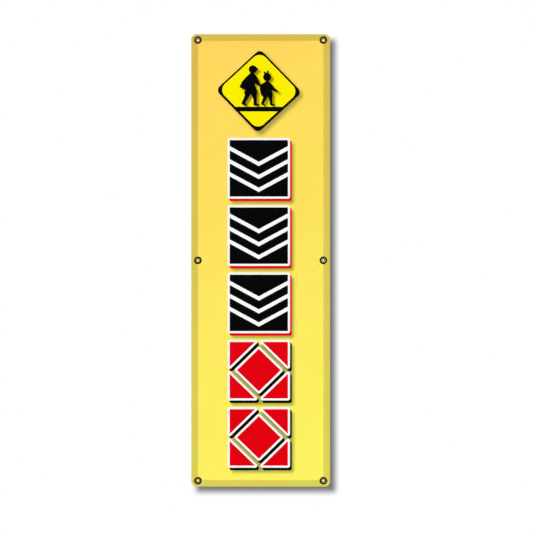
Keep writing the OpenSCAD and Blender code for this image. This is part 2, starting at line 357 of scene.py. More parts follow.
@dataclass
class TarpaulinSheet:
    """The sheet: one cloth with its edges turned back, its corners trimmed and six holes punched."""

    cut: BannerCut
    hang: ClothHang
    step: float = 6 * MM
    arc_steps: int = 14
    hole_steps: int = 48
    fold_steps: int = 8
    fold_strip: float = 1.4 * MM
    ring_radii: tuple[float, ...] = (8 * MM, 10.5 * MM, 13 * MM, 16 * MM, 19.5 * MM, 24 * MM)
    ring_room: float = 27 * MM
    edge_room: float = 1.2 * MM
    hem_room: float = 0.8 * MM
    corner_room: float = 1 * MM
    name: str = "tarpaulin_sheet"

    def corner_arc(self, radius: float, inset: float) -> np.ndarray:
        """The top right corner's arc, from its side to its end, round the trimmed corner's centre.

        Args:
            radius: The arc's radius.
            inset: How far inside the fold line its two ends are held.

        Returns:
            The points.
        """
        turn = np.linspace(0.0, np.pi / 2, self.arc_steps + 1)
        centre = np.array(self.cut.half) - self.cut.corner_r
        arc = centre + radius * np.stack([np.cos(turn), np.sin(turn)], -1)
        return np.minimum(arc, np.array(self.cut.fold_line) - inset)

    def outline(self) -> np.ndarray:
        """The front ply's outline: the rounded rectangle, held back to the fold line at its sides.

        Each corner is an arc from its side to its end. Straight edges have a point at each grid line.

        Returns:
            The points in order, counter-clockwise.
        """
        c = self.cut
        arc = self.corner_arc(c.corner_r, 0.0)
        straight = np.array(c.half) - c.corner_r - self.corner_room
        xs, zs = (line[np.abs(line) < limit] for line, limit in zip(self.grid_lines(), straight))
        right = np.stack([np.full(len(zs), c.fold_line[0]), zs], -1)
        top = np.stack([xs[::-1], np.full(len(xs), c.fold_line[1])], -1)
        half = np.concatenate([right, arc, top, arc[::-1] * (-1, 1)])
        return np.concatenate([half, -half])

    def grid_lines(self) -> tuple[np.ndarray, np.ndarray]:
        """Where the grid's lines stand, closer by each hem's inner edge and its fold.

        Returns:
            The lines' places across and up.
        """
        lines = []
        rim = self.cut.hem - self.cut.ply - self.fold_strip
        beside = np.array([-self.hang.ridge_half, self.hang.ridge_half, 0.5 * self.cut.hem, rim])
        for hem in self.cut.hem_line:
            inner = np.linspace(-hem, hem, 2 * round(hem / self.step) + 1)
            lines.append(np.sort(np.concatenate([-hem - beside, inner, hem + beside])))
        return lines[0], lines[1]

    def circles(self, radii: tuple[float, ...]) -> np.ndarray:
        """Circles round the six eyelets.

        Args:
            radii: The radii of the circles round each.

        Returns:
            The points, eyelet by eyelet and circle by circle.
        """
        turn = np.arange(self.hole_steps) * 2 * np.pi / self.hole_steps
        circle = np.stack([np.cos(turn), np.sin(turn)], -1)
        return (self.cut.eyelets[:, None, None] + np.array(radii)[:, None, None] * circle).reshape(-1, 2)

    def mitre_sides(self) -> np.ndarray:
        """The two sides of each corner's mitre gap, along the diagonal from the hem's inner corner.

        Returns:
            Four points a corner: one side's inner and outer end, and then the other's.
        """
        side, reach = self.cut.mitre_gap / math.sqrt(8), self.cut.mitre_reach
        one = [[side, -side], [side + reach, reach - side]]
        other = [[-side, side], [reach - side, reach + side]]
        sides = np.array([*one, *other]) + self.cut.hem_line
        return (CORNER_SIGNS[:, None] * sides).reshape(-1, 2)

    def filling(self) -> np.ndarray:
        """The points that fill the cloth: rings round its holes, arcs inside its corners and a grid.

        A point too near the outline, a hem's inner edge or a mitre gap is left out.

        Returns:
            The points.
        """
        c = self.cut
        arc = self.corner_arc(c.corner_r - self.fold_strip - c.ply, self.fold_strip)
        arcs = (CORNER_SIGNS[:, None] * arc).reshape(-1, 2)
        grid = np.stack(np.meshgrid(*self.grid_lines()), -1).reshape(-1, 2)
        grid = grid[c.to_eyelet(grid) > self.ring_room]
        points = np.concatenate([self.circles(self.ring_radii), arcs, grid])
        past_hem = np.abs(points) - c.hem_line
        off_hem = np.abs(past_hem).min(-1)
        clear = (off_hem < SAME) | (off_hem > self.hem_room)
        clear &= np.abs(past_hem @ (1, -1)) > self.edge_room
        clear &= self.room_to_outline(points) > self.edge_room
        return points[clear]

    def flat_points(self) -> tuple[np.ndarray, np.ndarray]:
        """The points of the flat cloth and the edges that its triangles keep.

        They are the outline, the punched holes, the hems' inner edges, each mitre gap with its two
        sides and its outer end, and what fills the rest.

        Returns:
            The points and the kept edges.
        """
        outline, holes, mitres = self.outline(), self.circles((self.cut.hole_r,)), self.mitre_sides()
        corners = CORNER_SIGNS * self.cut.hem_line
        first_hole = len(outline)
        first_corner = first_hole + len(holes)
        first_mitre = first_corner + len(corners)
        kept = [closed_loop(0, len(outline)), closed_loop(first_corner, len(corners))]
        starts = range(first_hole, first_corner, self.hole_steps)
        kept += [closed_loop(start, self.hole_steps) for start in starts]
        mitre = np.arange(len(mitres)).reshape(len(corners), -1) + first_mitre
        kept += [mitre[:, :2], mitre[:, 2:], mitre[:, 1::2]]
        return np.concatenate([outline, holes, corners, mitres, self.filling()]), np.concatenate(kept)

    def room_to_outline(self, points: np.ndarray) -> np.ndarray:
        """How far points lie inside the outline: a rounded rectangle's distance, turned inwards.

        Args:
            points: The points.

        Returns:
            The distance of each.
        """
        r = self.cut.corner_r
        out = np.abs(points) - (np.array(self.cut.fold_line) - r)
        return r - np.linalg.norm(np.maximum(out, 0.0), axis=-1) - np.minimum(out.max(-1), 0.0)

    def trimmed_reach(self, across: np.ndarray, half: tuple[float, float]) -> np.ndarray:
        """How far out the trimmed corner lets the fold reach, by the corner's circle.

        Args:
            across: Places along the edge.
            half: Half the cloth's size across the edge and along it.

        Returns:
            The reach at each place.
        """
        r = self.cut.corner_r
        past = np.clip(np.abs(across) - (half[1] - r), 0.0, r)
        return half[0] - r + np.sqrt(r * r - past * past)

    def layers_at(self, points: np.ndarray) -> np.ndarray:
        """How many layers of cloth lie at each point.

        Args:
            points: The points.

        Returns:
            2 in the hems, and 1 in the middle and in the mitre gaps.
        """
        c = self.cut
        past = np.abs(points) - c.hem_line
        in_gap = (past.min(-1) > 0) & (np.abs(past @ (1, -1)) < c.mitre_gap / math.sqrt(2))
        in_gap &= past.sum(-1) < 2 * c.mitre_reach
        return np.where((past.max(-1) > 0) & ~in_gap, 2, 1)

    def lay(self, flat: np.ndarray, behind: float) -> np.ndarray:
        """Places points of the flat cloth in space, some way behind the printed face."""
        x, z = flat[:, 0], flat[:, 1]
        return np.stack([x, self.hang.depth(x, z) + behind, z], -1)

    def build(self, finishes: list[bpy.types.Material]) -> bpy.types.Object:
        """Builds the sheet as one closed surface.

        The front is the flat cloth laid on the hang. The back is the same one ply behind it, and
        two plies behind it in the hems, with upright walls where the hems end. The outside is
        closed by the fold.

        Args:
            finishes: The materials of SheetSlot.

        Returns:
            The piece.
        """
        c = self.cut
        flat, triangles = triangulate(*self.flat_points())
        triangles = triangles[c.to_eyelet(flat[triangles].mean(1)) >= c.hole_r]
        layers = self.layers_at(flat[triangles].mean(1))
        shell = Shell()
        n = len(flat)
        for level in range(3):
            shell.add_points(self.lay(flat, level * c.ply))
        shell.add_triangles(triangles, SheetSlot.PRINTED)
        back_slots = np.where(layers == 2, SheetSlot.HEM, SheetSlot.BARE_BACK)
        shell.add_triangles(triangles[:, ::-1] + layers[:, None] * n, back_slots)

        edges, owner, beyond = half_edges(triangles)
        a, b = edges.T
        free = beyond < 0
        own, other = layers[owner], np.where(free, 0, layers[beyond])
        at_hole = free & (c.to_eyelet(flat[a]) < c.hole_r + SAME)
        rim = free & ~at_hole
        step = (own == 2) & (other == 1)
        shell.add_quads(a[step] + 2 * n, b[step] + 2 * n, b[step] + n, a[step] + n, SheetSlot.HEM)
        shell.add_quads(b[at_hole], a[at_hole], a[at_hole] + n, b[at_hole] + n, SheetSlot.BARE_BACK)
        deep = at_hole & (own == 2)
        shell.add_quads(b[deep] + n, a[deep] + n, a[deep] + 2 * n, b[deep] + 2 * n, SheetSlot.BARE_BACK)
        self.turn_edge(shell, flat, a[rim], b[rim])
        return shell.to_object(self.name, finishes)

    def turn_edge(self, shell: Shell, flat: np.ndarray, a: np.ndarray, b: np.ndarray) -> None:
        """Closes the outside between the front and the back of the hems with the rounded fold.

        Each point of the rim turns back along a half circle, x = fold line + ply * sin(t) and
        y = ply * (1 - cos(t)), cut short where the trimmed corner is nearer.

        Args:
            shell: The surface, whose first three blocks are its layers.
            flat: The flat cloth's points.
            a: Each rim edge's first point.
            b: Its second.
        """
        c = self.cut
        nodes, place = np.unique(np.concatenate([a, b]), return_inverse=True)
        at_a, at_b = place[: len(a)], place[len(a) :]
        base = flat[nodes]
        folded = np.abs(base) > np.array(c.fold_line) - SAME
        ways = (self.trimmed_reach(base[:, 1], c.half), self.trimmed_reach(base[:, 0], c.half[::-1]))
        reach = np.stack(ways, -1)
        rings = [nodes]
        for turn in np.linspace(0.0, np.pi, self.fold_steps + 1)[1:-1]:
            bulge = np.minimum(np.array(c.fold_line) + c.ply * math.sin(turn), reach)
            ring = self.lay(base, c.ply * (1.0 - math.cos(turn)))
            ring[:, [0, 2]] = np.sign(base) * np.where(folded, bulge, np.abs(base))
            rings.append(shell.add_points(ring) + np.arange(len(nodes)))
        rings.append(nodes + 2 * len(flat))
        for near, far in zip(rings, rings[1:]):
            shell.add_quads(near[at_b], near[at_a], far[at_a], far[at_b], SheetSlot.HEM)


@dataclass
class InkField:
    """One colour of ink: the CAD field's outline, laid again as a thin film on the hanging cloth."""

    node: str
    slot: str
    hang: ClothHang
    step: float = 7 * MM
    shade_shift: tuple[float, float] = (8 * MM, 8 * MM)
    shade_soft: float = 5.5 * MM
    figure_zone: float = 0.87
    bar_room: float = 0.5 * MM

    @property
    def name(self) -> str:
        """The piece's name."""
        return f"{self.node}_film"

    def outline(self) -> tuple[np.ndarray, np.ndarray]:
        """The edges of the CAD field's front face.

        Equal corners of its loose triangles become one point, triangles that this flattens to a
        line are dropped, and an edge of a front triangle that no other shares is outline.

        Returns:
            The outline's points, as x and z, and its edges as pairs of point numbers.
        """
        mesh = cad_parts[self.node].data
        corners = np.empty(len(mesh.vertices) * 3)
        mesh.vertices.foreach_get("co", corners)
        loops = np.empty(len(mesh.loops), int)
        mesh.loops.foreach_get("vertex_index", loops)
        points, place = np.unique(corners.reshape(-1, 3).round(DECIMALS), axis=0, return_inverse=True)
        triangles = place.reshape(-1)[loops.reshape(-1, 3)]
        front = triangles[(points[triangles][:, :, 1] < -0.5 * self.hang.cut.ink).all(1)]
        front = front[(front != np.roll(front, 1, axis=1)).all(1)]
        edges, _, beyond = half_edges(front)
        used, place = np.unique(edges[beyond < 0], return_inverse=True)
        return self.shorten(points[used][:, [0, 2]], place.reshape(-1, 2))

    def shorten(self, points: np.ndarray, edges: np.ndarray) -> tuple[np.ndarray, np.ndarray]:
        """Splits long edges evenly, so that the film bends with the cloth along its outline.

        An edge of length l gets ceil(l / step) parts, at a + (b - a) * k / parts.

        Args:
            points: The outline's points.
            edges: Its edges.

        Returns:
            The points with the new ones after them, and the shorter edges.
        """
        a, b = points[edges[:, 0]], points[edges[:, 1]]
        parts = np.ceil(np.linalg.norm(b - a, axis=1) / self.step - ROUNDING).astype(int).clip(1)
        whole = np.repeat(np.arange(len(edges)), parts)
        k = np.arange(len(whole)) - np.repeat(np.cumsum(parts) - parts, parts)
        first, last = k == 0, k == parts[whole] - 1
        share = ((k + 1) / parts[whole])[:, None]
        new = (a[whole] + (b - a)[whole] * share)[~last]
        end = np.where(last, edges[whole, 1], 0)
        end[~last] = len(points) + np.arange(len(new))
        start = np.where(first, edges[whole, 0], np.roll(end, 1))
        return np.concatenate([points, new]), np.stack([start, end], -1)

    def figures(self) -> tuple[np.ndarray, np.ndarray]:
        """The outline of the figures on the sign: well inside its lozenge and above its ground bar.

        A point is well inside where |x| / half width + |z| / half height, both from the middle of
        the sign, is less than the figures' zone.

        Returns:
            The outline's points and the figures' edges.
        """
        c = self.hang.cut
        outline, edges = self.outline()
        place = outline - (-c.print_left, c.height / 2 - c.sign_drop)
        kept = np.abs(place) @ (2 / c.sign_w, 2 / c.sign_h) < self.figure_zone
        kept &= place[:, 1] > self.bar_room - c.ground_drop
        return outline, edges[kept[edges].all(1)]

    def inside(self, points: np.ndarray, outline: np.ndarray, edges: np.ndarray) -> np.ndarray:
        """Whether points lie in the field: a level ray to the right crosses its outline oddly often.

        Args:
            points: The places asked about.
            outline: The outline's points.
            edges: Its edges.

        Returns:
            True for each point that lies inside.
        """
        (x0, z0), (x1, z1) = outline[edges[:, 0]].T, outline[edges[:, 1]].T
        rise = np.where(z1 == z0, 1.0, z1 - z0)
        odd = np.zeros(len(points), bool)
        for part in np.array_split(np.arange(len(points)), max(1, len(points) // BATCH)):
            px, pz = points[part, 0][:, None], points[part, 1][:, None]
            level = (z0 > pz) != (z1 > pz)
            odd[part] = (level & (px < x0 + (pz - z0) * (x1 - x0) / rise)).sum(1) % 2 == 1
        return odd

    def figure_shade(self, points: np.ndarray, outline: np.ndarray, edges: np.ndarray) -> np.ndarray:
        """The soft shade that other figures throw on this field, to their lower right.

        It is a smooth step of the signed distance to the figures' outline, moved by the shift: the
        least distance to any of its edges, negative inside.

        Args:
            points: The places asked about.
            outline: The figures' outline points.
            edges: Their edges.

        Returns:
            The shade at each place, from 0 to 1.
        """
        points = points - np.array([self.shade_shift[0], -self.shade_shift[1]])
        a, b = outline[edges[:, 0]], outline[edges[:, 1]]
        along = b - a
        least = np.empty(len(points))
        for part in np.array_split(np.arange(len(points)), max(1, len(points) // BATCH)):
            gap = points[part][:, None] - a
            t = np.clip((gap * along).sum(-1) / (along * along).sum(-1), 0.0, 1.0)
            least[part] = np.linalg.norm(gap - t[..., None] * along, axis=-1).min(1)
        signed = np.where(self.inside(points, outline, edges), -least, least)
        return 1.0 - smoothstep(signed, -self.shade_soft, self.shade_soft)

    def build(
        self, finish: bpy.types.Material, figures: tuple[np.ndarray, np.ndarray] | None = None
    ) -> bpy.types.Object:
        """Builds the film: its face and its back one ink's thickness apart, closed along the outline.

        Args:
            finish: The ink's material.
            figures: The outline of figures that throw a soft shade on this field.

        Returns:
            The piece, which replaces the CAD node.
        """
        outline, edges = self.outline()
        ways = [np.arange(low, high, self.step) for low, high in zip(outline.min(0), outline.max(0))]
        grid = np.stack(np.meshgrid(*ways), -1).reshape(-1, 2)
        grid = grid[self.inside(grid, outline, edges)]
        flat, triangles = triangulate(np.concatenate([outline, grid]), edges)
        triangles = triangles[self.inside(flat[triangles].mean(1), outline, edges)]
        x, z = flat[:, 0], flat[:, 1]
        depth = self.hang.depth(x, z)
        shell = Shell()
        shell.add_points(np.stack([x, depth - self.hang.cut.ink, z], -1))
        n = shell.add_points(np.stack([x, depth, z], -1))
        shell.add_triangles(triangles)
        shell.add_triangles(triangles[:, ::-1] + n)
        rim, _, beyond = half_edges(triangles)
        a, b = rim[beyond < 0].T
        shell.add_quads(b, a, a + n, b + n)
        piece = shell.to_object(self.name, [finish])
        shade = piece.data.attributes.new("figure_shade", "FLOAT", "POINT")
        if figures is not None:
            corners = np.empty(len(piece.data.vertices) * 3, np.float32)
            piece.data.vertices.foreach_get("co", corners)
            shade.data.foreach_set("value", self.figure_shade(corners.reshape(-1, 3)[:, [0, 2]], *figures))
        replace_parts(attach(piece, "root"), self.node)
        return piece


# The finishes


class NodeBook:
    """The node tree of a material or world, with short calls for the nodes that the finishes share."""

    def __init__(self, owner: bpy.types.Material | bpy.types.World, shader: str = "Principled BSDF") -> None:
        """Opens the tree.

        Args:
            owner: The new material or world.
            shader: The name of the shader that its tree starts with.
        """
        self.owner = owner
        self.owner.use_nodes = True
        self.tree = owner.node_tree
        self.shader = self.tree.nodes[shader]

    @cached_property
    def place(self) -> bpy.types.NodeSocket:
        """The place on the piece itself, in metres."""
        return self.node("ShaderNodeTexCoord").outputs["Object"]

    def node(self, kind: str, **settings: object) -> bpy.types.Node:
        """Adds a node.

        Args:
            kind: Its type.
            **settings: Its properties by name.

        Returns:
            The node.
        """
        node = self.tree.nodes.new(kind)
        for key, value in settings.items():
            setattr(node, key, value)
        return node

    def feed(self, socket: bpy.types.NodeSocket, value: object) -> None:
        """Links an output to a socket, or sets the socket to a plain value.

        Args:
            socket: The input socket.
            value: The output socket, number or colour.
        """
        if isinstance(value, bpy.types.NodeSocket):
            self.tree.links.new(value, socket)
        else:
            socket.default_value = value

    def feed_all(self, node: bpy.types.Node, *values: object) -> bpy.types.Node:
        """Feeds a node's sockets in their order.

        Args:
            node: The node.
            *values: What its first sockets take.

        Returns:
            The node.
        """
        for socket, value in zip(node.inputs, values):
            self.feed(socket, value)
        return node

    def math(self, operation: str, *values: object) -> bpy.types.NodeSocket:
        """A Math node on sockets or numbers."""
        return self.feed_all(self.node("ShaderNodeMath", operation=operation), *values).outputs[0]

    def ramp(
        self, value: object, start: float, end: float, low: float = 0.0, high: float = 1.0
    ) -> bpy.types.NodeSocket:
        """A smooth rise from low at start to high at end."""
        rise = self.node("ShaderNodeMapRange", interpolation_type="SMOOTHSTEP")
        return self.feed_all(rise, value, start, end, low, high).outputs[0]

    def split(self, vector: bpy.types.NodeSocket) -> tuple[bpy.types.NodeSocket, ...]:
        """The three parts of a vector."""
        return tuple(self.feed_all(self.node("ShaderNodeSeparateXYZ"), vector).outputs)

    def blend(self, share: object, a: object, b: object, mode: str = "MIX") -> bpy.types.NodeSocket:
        """Mixes two colours.

        Args:
            share: How much of the mix shows, from 0 to 1.
            a: The first colour.
            b: The second.
            mode: How they mix.

        Returns:
            The mixed colour.
        """
        node = self.node("ShaderNodeMix", data_type="RGBA", blend_type=mode)
        for socket, value in zip((node.inputs[0], node.inputs[6], node.inputs[7]), (share, a, b)):
            self.feed(socket, value)
        return node.outputs[2]

    def noise(
        self, scale: float, detail: float, stretch: tuple[float, float, float] = (1, 1, 1)
    ) -> bpy.types.NodeSocket:
        """A noise on the piece's own place.

        Args:
            scale: How many of its features fit in a metre.
            detail: How many finer layers it has.
            stretch: How much closer it lies each way.

        Returns:
            The noise, from 0 to 1.
        """
        mapping = self.node("ShaderNodeMapping")
        self.feed(mapping.inputs["Vector"], self.place)
        mapping.inputs["Scale"].default_value = stretch
        noise = self.node("ShaderNodeTexNoise")
        self.feed(noise.inputs["Vector"], mapping.outputs[0])
        noise.inputs["Scale"].default_value = scale
        noise.inputs["Detail"].default_value = detail
        return noise.outputs[0]

    def past(self, way: object, line: float) -> bpy.types.NodeSocket:
        """How far a place is past a line that stands on both sides of the middle."""
        return self.math("SUBTRACT", self.math("ABSOLUTE", way), line)

    def length(self, a: object, b: object) -> bpy.types.NodeSocket:
        """The length of a pair of numbers."""
        return self.math("SQRT", self.math("MULTIPLY_ADD", a, a, self.math("MULTIPLY", b, b)))

    def box_distance(self, x: object, z: object, half: tuple[float, float], r: float) -> bpy.types.NodeSocket:
        """Distance outside a rounded box: the length of how far each way is past it, less its radius."""
        out = [self.math("MAXIMUM", self.past(way, size - r), 0.0) for way, size in zip((x, z), half)]
        return self.math("SUBTRACT", self.length(*out), r)

    def eyelet_radius(self, cut: BannerCut) -> bpy.types.NodeSocket:
        """Distance from the nearest eyelet's axis, with both sides and the three rows laid on one.

        Args:
            cut: The banner's sizes.

        Returns:
            The distance in metres.
        """
        x, _, z = self.split(self.place)
        up = self.math("ABSOLUTE", z)
        up = self.math("MINIMUM", up, self.math("ABSOLUTE", self.math("SUBTRACT", up, cut.eyelet_z)))
        return self.length(self.past(x, cut.eyelet_x), up)

    def bump(
        self, height: object, distance: float, below: bpy.types.NodeSocket | None = None
    ) -> bpy.types.NodeSocket:
        """A bump.

        Args:
            height: Its height, from 0 to 1.
            distance: What a height of 1 stands for, in metres.
            below: Another bump that it lies on.

        Returns:
            The bumped normal.
        """
        node = self.node("ShaderNodeBump")
        node.inputs["Distance"].default_value = distance
        self.feed(node.inputs["Height"], height)
        if below is not None:
            self.feed(node.inputs["Normal"], below)
        return node.outputs[0]

    def seen(self) -> bpy.types.NodeSocket:
        """Tells rays that show a surface, straight, mirrored or through glass, from those that light.

        Returns:
            1 for a ray that shows it, and 0 for one that lights.
        """
        rays = self.node("ShaderNodeLightPath").outputs
        mirrored = self.math("MAXIMUM", rays["Is Camera Ray"], rays["Is Glossy Ray"])
        return self.math("MAXIMUM", mirrored, rays["Is Transmission Ray"])

    def finish(self, **sockets: object) -> bpy.types.Material | bpy.types.World:
        """Feeds the shader.

        Args:
            **sockets: What its sockets take, by their names with underscores for spaces.

        Returns:
            The tree's owner.
        """
        for key, value in sockets.items():
            self.feed(self.shader.inputs[key.replace("_", " ")], value)
        return self.owner

    def coated(self, colour: object, gloss: object, relief: object, specular: float) -> bpy.types.Material:
        """Finishes a coated or inked surface from its colour, roughness, normal and specular level."""
        return self.finish(Base_Color=colour, Roughness=gloss, Normal=relief, Specular_IOR_Level=specular)


@dataclass(frozen=True)
class Patches:
    """Soft patches: a noise of a scale per metre, made a smooth rise between two of its levels."""

    scale: float
    detail: float
    start: float
    end: float
    low: float = 0.0
    high: float = 1.0

    def on(self, book: NodeBook) -> bpy.types.NodeSocket:
        """The patches on a surface, from low to high."""
        return book.ramp(book.noise(self.scale, self.detail), self.start, self.end, self.low, self.high)


@dataclass(frozen=True)
class Scrim:
    """The woven scrim that shows through the coating: its pitch and its relief, in metres."""

    pitch: float = 1.15 * MM
    relief: float = 0.02 * MM
    calender: float = 0.08 * MM
    calender_noise: tuple[float, float] = (55.0, 2.0)

    def bump(self, book: NodeBook) -> bpy.types.NodeSocket:
        """A plain weave, sin(x) times sin(z) over the threads, on the coating's slow unevenness.

        Args:
            book: The material's book.

        Returns:
            The bumped normal.
        """
        x, _, z = book.split(book.place)
        turn = 2 * math.pi / self.pitch
        warp, weft = (book.math("SINE", book.math("MULTIPLY", way, turn)) for way in (x, z))
        weave = book.math("MULTIPLY_ADD", book.math("MULTIPLY", warp, weft), 0.5, 0.5)
        slow = book.bump(book.noise(*self.calender_noise), self.calender)
        return book.bump(weave, self.relief, slow)


@dataclass(frozen=True)
class PrintedFace:
    """The printed ground: warm yellow at the top left to lemon at the bottom right, darker hems.

    The two colours mix by a share that grows per metre down and across from the top left corner.
    """

    cut: BannerCut
    scrim: Scrim
    top_left: tuple[int, int, int] = (254, 212, 86)
    bottom_right: tuple[int, int, int] = (255, 247, 95)
    change_down: float = 0.56
    change_across: float = 12 / 35
    mottle: Patches = Patches(14.0, 4.0, 0.3, 0.7, 0.985, 1.0)
    gloss: Patches = Patches(30.0, 3.0, 0.2, 0.8, 0.40, 0.52)
    specular: float = 0.22
    hem_tone: float = 0.712
    hem_soft: float = 1.2 * MM
    shade_tone: tuple[float, float, float, float] = (0.42, 0.45, 0.50, 1.0)
    shade_shift: tuple[float, float] = (13 * MM, 16.5 * MM)
    shade_soft: float = 8.5 * MM
    shade_corner_r: float = 10.5 * MM
    sign_shift: tuple[float, float] = (10.6 * MM, 10.6 * MM)
    sign_soft: float = 11.5 * MM
    back_tone: float = 0.84
    knurl: float = 3.2 * MM
    knurl_depth: float = 0.12 * MM
    knurl_rise: tuple[float, float] = (-0.1, 0.5)

    def tile_shade(self, book: NodeBook, x: object, z: object) -> bpy.types.NodeSocket:
        """The soft shade printed to the lower right of the tiles, one box repeated at their pitch.

        Args:
            book: The material's book.
            x: Place across.
            z: Place up.

        Returns:
            The shade, from 0 to 1.
        """
        c = self.cut
        top = c.height / 2 - c.first_tile_drop + c.tile_pitch / 2 - self.shade_shift[1]
        along = book.math("SUBTRACT", top, z)
        in_pitch = book.math("MODULO", book.math("MAXIMUM", along, 0.0), c.tile_pitch)
        in_tile = book.math("SUBTRACT", in_pitch, c.tile_pitch / 2)
        across = book.math("ADD", x, c.print_left - self.shade_shift[0])
        half = (c.tile_w / 2 + c.edging, c.tile_h / 2 + c.edging)
        distance = book.box_distance(across, in_tile, half, self.shade_corner_r)
        below_top = book.math("GREATER_THAN", along, 0.0)
        above_end = book.math("LESS_THAN", along, c.tiles * c.tile_pitch)
        shade = book.ramp(distance, -self.shade_soft, self.shade_soft, 1.0, 0.0)
        return book.math("MULTIPLY", shade, book.math("MULTIPLY", below_top, above_end))

    def sign_shade(self, book: NodeBook, x: object, z: object) -> bpy.types.NodeSocket:
        """The same shade beside the sign: a rounded box in axes that lie along its slanting sides.

        With a = 45 degrees less the lean, u = x cos a + z sin a and v = x sin a - z cos a. With m
        the mean of the sign's half width and half height, the box reaches (m - r) / sqrt 2 + r.

        Args:
            book: The material's book.
            x: Place across.
            z: Place up.

        Returns:
            The shade, from 0 to 1.
        """
        c = self.cut
        turn = math.pi / 4 - c.sign_lean
        along, lift = math.cos(turn), math.sin(turn)
        across = book.math("ADD", x, c.print_left - self.sign_shift[0])
        up = book.math("SUBTRACT", z, c.height / 2 - c.sign_drop - self.sign_shift[1])
        u = book.math("MULTIPLY_ADD", across, along, book.math("MULTIPLY", up, lift))
        v = book.math("MULTIPLY_ADD", across, lift, book.math("MULTIPLY", up, -along))
        r = c.sign_corner_r
        half = ((c.sign_w + c.sign_h) / 4 - r) / math.sqrt(2) + r
        return book.ramp(book.box_distance(u, v, (half, half), r), -self.sign_soft, self.sign_soft, 1.0, 0.0)

    def weld(self, book: NodeBook, x: object, z: object) -> bpy.types.NodeSocket:
        """The welding wheel's knurl: two slanting sines multiplied.

        Args:
            book: The material's book.
            x: Place across.
            z: Place up.

        Returns:
            The knurl's height, from 0 to 1.
        """
        turn = 2 * math.pi / self.knurl
        slants = (book.math(way, x, z) for way in ("ADD", "SUBTRACT"))
        down, up = (book.math("SINE", book.math("MULTIPLY", slant, turn)) for slant in slants)
        return book.ramp(book.math("MULTIPLY", down, up), *self.knurl_rise)

    def ground(self, book: NodeBook, x: object, z: object) -> bpy.types.NodeSocket:
        """The ground's colour before its hems and shades.

        The share of the second colour is across * x - down * z + its value at the middle.

        Args:
            book: The material's book.
            x: Place across.
            z: Place up.

        Returns:
            The colour.
        """
        half_w, half_h = self.cut.half
        middle = half_w * self.change_across + half_h * self.change_down
        across = book.math("MULTIPLY_ADD", x, self.change_across, middle)
        share = book.math("MULTIPLY_ADD", z, -self.change_down, across)
        colour = book.blend(share, linear(*self.top_left), linear(*self.bottom_right))
        return book.blend(1.0, colour, self.mottle.on(book), "MULTIPLY")

    def material(self, back: bool = False) -> bpy.types.Material:
        """Builds the ground's material, or the same cloth where it lies welded at the back.

        Args:
            back: Whether this is the hem at the back, which has the weld's pattern and no shade.

        Returns:
            The material.
        """
        book = NodeBook(bpy.data.materials.new("hem_back" if back else "printed_ground"))
        x, _, z = book.split(book.place)
        colour, relief = self.ground(book, x, z), self.scrim.bump(book)
        if back:
            relief = book.bump(self.weld(book, x, z), self.knurl_depth, relief)
            colour = book.blend(1.0, colour, grey(self.back_tone), "MULTIPLY")
        else:
            past = (book.past(way, line) for way, line in zip((x, z), self.cut.hem_line))
            hem = book.ramp(book.math("MAXIMUM", *past), -self.hem_soft, self.hem_soft)
            darker = book.blend(1.0, colour, grey(self.hem_tone), "MULTIPLY")
            colour = book.blend(hem, colour, darker)
            shade = book.math("MAXIMUM", self.tile_shade(book, x, z), self.sign_shade(book, x, z))
            colour = book.blend(shade, colour, book.blend(1.0, colour, self.shade_tone, "MULTIPLY"))
        return book.coated(colour, self.gloss.on(book), relief, self.specular)


@dataclass(frozen=True)
class BareBack:
    """The unprinted back: white coating with the scrim plainer to see, and a little handling dirt."""

    scrim: Scrim
    white: tuple[int, int, int] = (240, 240, 236)
    dirt: tuple[int, int, int] = (233, 233, 228)
    handled: Patches = Patches(7.0, 5.0, 0.42, 0.75)
    gloss: Patches = Patches(25.0, 3.0, 0.2, 0.8, 0.45, 0.6)
    specular: float = 0.3

    def material(self) -> bpy.types.Material:
        """Builds the material.

        Returns:
            The material.
        """
        book = NodeBook(bpy.data.materials.new("bare_back"))
        colour = book.blend(self.handled.on(book), linear(*self.white), linear(*self.dirt))
        return book.coated(colour, self.gloss.on(book), self.scrim.bump(book), self.specular)


@dataclass(frozen=True)
class Ink:
    """A solid ink: its colour, and how much its coverage and its sheen vary."""

    name: str
    colour: tuple[int, int, int]
    scrim: Scrim
    specular: float = 0.018
    thin: float = 0.06
    coverage: Patches = Patches(420.0, 2.0, 0.35, 0.75)
    gloss: Patches = Patches(40.0, 3.0, 0.2, 0.8, 0.38, 0.48)
    shaded: bool = False
    shade: tuple[int, int, int] = (150, 138, 8)

    def material(self) -> bpy.types.Material:
        """Builds the material: coverage thins in a fine noise, and the scrim shows through.

        Returns:
            The material.
        """
        book = NodeBook(bpy.data.materials.new(self.name))
        base = linear(*self.colour)
        light = tuple(part * (1 - self.thin) for part in base[:3]) + (1.0,)
        colour = book.blend(self.coverage.on(book), base, light)
        if self.shaded:
            shade = book.node("ShaderNodeAttribute", attribute_name="figure_shade").outputs["Fac"]
            colour = book.blend(shade, colour, linear(*self.shade))
        return book.coated(colour, self.gloss.on(book), self.scrim.bump(book), self.specular)


